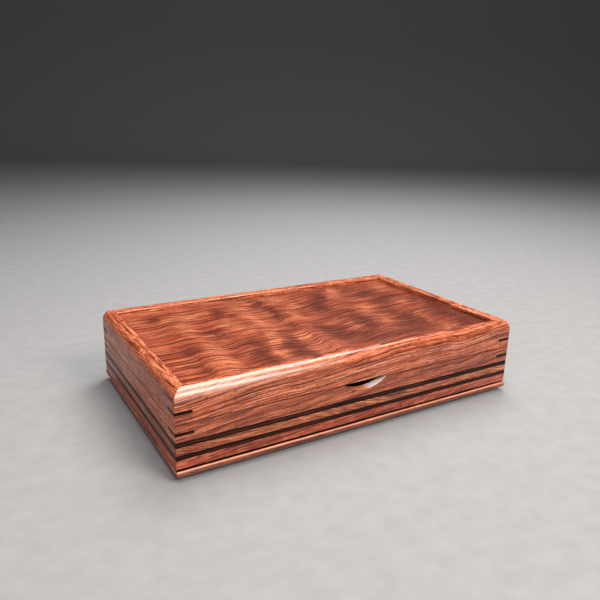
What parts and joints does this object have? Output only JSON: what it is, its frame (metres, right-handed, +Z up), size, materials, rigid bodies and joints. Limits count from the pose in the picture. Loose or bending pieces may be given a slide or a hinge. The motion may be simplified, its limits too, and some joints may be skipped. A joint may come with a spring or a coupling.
{
  "type": "valet box",
  "caption": "Low lidded wooden valet box with dark stripes, corner keys, a recessed figured lid panel, a thumb notch and a sliding tray.",
  "frame": {"origin": "centre of the underside, on the plane of the four pads", "axes": "+X along the length to the right, +Y from the front with the thumb notch to the back with the hinges, +Z up"},
  "size_m": [0.3814, 0.236, 0.0804],
  "materials": {
    "bubinga": "quarter-sawn bubinga, rubbed oil and satin lacquer",
    "figured_bubinga": "waterfall figured bubinga, satin lacquer",
    "ribbon_bubinga": "golden brown hardwood with ribbon figure, satin lacquer",
    "plain_bubinga": "plain bubinga, oiled",
    "wenge": "dark brown hardwood, satin lacquer",
    "black_plywood": "birch plywood stained black",
    "suede": "dark brown pig suede on card",
    "brass": "drawn brass, satin",
    "rubber": "moulded black rubber"
  },
  "bodies": {
    "case": {"lower_wall_front": "bubinga", "lower_wall_right": "bubinga", "lower_wall_back": "bubinga", "lower_wall_left": "bubinga", "lower_stripe_front": "wenge", "lower_stripe_right": "wenge", "lower_stripe_back": "wenge", "lower_stripe_left": "wenge", "middle_band_front": "ribbon_bubinga", "middle_band_right": "ribbon_bubinga", "middle_band_back": "ribbon_bubinga", "middle_band_left": "ribbon_bubinga", "upper_stripe_front": "wenge", "upper_stripe_right": "wenge", "upper_stripe_back": "wenge", "upper_stripe_left": "wenge", "upper_wall_front": "bubinga", "upper_wall_right": "bubinga", "upper_wall_back": "bubinga", "upper_wall_left": "bubinga", "case_keys": "wenge", "bottom_panel": "black_plywood", "moulding_front": "bubinga", "moulding_right": "bubinga", "moulding_back": "bubinga", "moulding_left": "bubinga", "feet": "rubber", "floor_lining": "suede", "lining_front": "suede", "lining_right": "suede", "lining_back": "suede", "lining_left": "suede", "runner_front": "plain_bubinga", "runner_back": "plain_bubinga", "case_divider_left": "plain_bubinga", "case_divider_right": "plain_bubinga", "hinge_case_leaf_left": "brass", "hinge_case_leaf_right": "brass", "hinge_pins": "brass", "hinge_case_screws": "brass"},
    "lid": {"lid_rail_front": "bubinga", "lid_rail_right": "bubinga", "lid_rail_back": "bubinga", "lid_rail_left": "bubinga", "lid_panel": "figured_bubinga", "lid_lining": "suede", "lid_keys": "wenge", "hinge_lid_leaf_left": "brass", "hinge_lid_leaf_right": "brass", "hinge_lid_screws": "brass"},
    "tray": {"tray_wall_front": "plain_bubinga", "tray_wall_right": "plain_bubinga", "tray_wall_back": "plain_bubinga", "tray_wall_left": "plain_bubinga", "tray_bottom": "black_plywood", "tray_lining": "suede", "tray_long_divider": "plain_bubinga", "tray_cross_dividers": "plain_bubinga"}
  },
  "joints": [
    {"name": "lid_hinge", "type": "hinge", "parent": "case", "child": "lid", "pos_m": [0, 0.116, 0.0517], "axis": [-1, 0, 0], "range_deg": [0, 95]},
    {"name": "tray_slide", "type": "slide", "parent": "case", "child": "tray", "axis": [1, 0, 0], "range_m": [0, 0.1916]}
  ]
}
